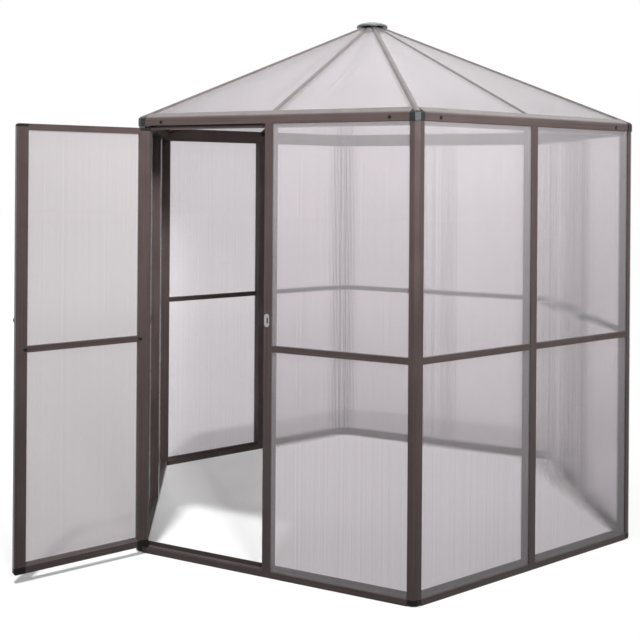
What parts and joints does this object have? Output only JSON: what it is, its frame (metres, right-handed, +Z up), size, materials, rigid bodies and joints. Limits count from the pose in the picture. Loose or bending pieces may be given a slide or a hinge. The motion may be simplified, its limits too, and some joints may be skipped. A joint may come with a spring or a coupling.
{
  "type": "hexagonal greenhouse",
  "caption": "Hexagonal garden greenhouse: metal frame glazed with translucent twin-wall sheet, low pyramid roof with a round cap, and a side-hung door beside the jamb in the front wall.",
  "frame": {"origin": "on the ground, under the middle of the door wall's base rail, half way through the wall's depth", "axes": "+Z up, +X to the right along the door wall seen from outside, +Y into the house"},
  "size_m": [2.4308, 2.59, 2.3062],
  "materials": {
    "frame_metal": "satin",
    "sheet": "fine upright flutes, translucent",
    "fitting": "matte",
    "bright_metal": "satin"
  },
  "bodies": {
    "house": {"base_rail_front": "frame_metal", "base_rail_front_right": "frame_metal", "base_rail_back_right": "frame_metal", "base_rail_back": "frame_metal", "base_rail_back_left": "frame_metal", "base_rail_front_left": "frame_metal", "eave_beam_front": "frame_metal", "eave_beam_front_right": "frame_metal", "eave_beam_back_right": "frame_metal", "eave_beam_back": "frame_metal", "eave_beam_back_left": "frame_metal", "eave_beam_front_left": "frame_metal", "post_front_left": "frame_metal", "post_front_right": "frame_metal", "post_right": "frame_metal", "post_back_right": "frame_metal", "post_back_left": "frame_metal", "post_left": "frame_metal", "panes_front": "sheet", "panes_front_right": "sheet", "panes_back_right": "sheet", "panes_back": "sheet", "panes_back_left": "sheet", "panes_front_left": "sheet", "door_jamb": "frame_metal", "mullions": "frame_metal", "mid_rails": "frame_metal", "corner_feet": "fitting", "eave_connectors": "fitting", "hip_rafters": "frame_metal", "mid_rafters": "frame_metal", "roof_panes": "sheet", "roof_hub": "fitting", "roof_cap": "fitting", "hinge_ears": "fitting", "strike_plate": "bright_metal"},
    "door": {"door_hinge_stile": "frame_metal", "door_latch_stile": "frame_metal", "door_top_rail": "frame_metal", "door_mid_rail": "frame_metal", "door_bottom_rail": "frame_metal", "door_panes": "sheet", "door_corner_keys": "fitting", "door_knob": "fitting"}
  },
  "joints": [
    {"name": "door_hinge", "type": "hinge", "parent": "house", "child": "door", "pos_m": [-0.5661, -0.0225, 0.89], "axis": [0, 0, 1], "range_deg": [0, 120]}
  ]
}
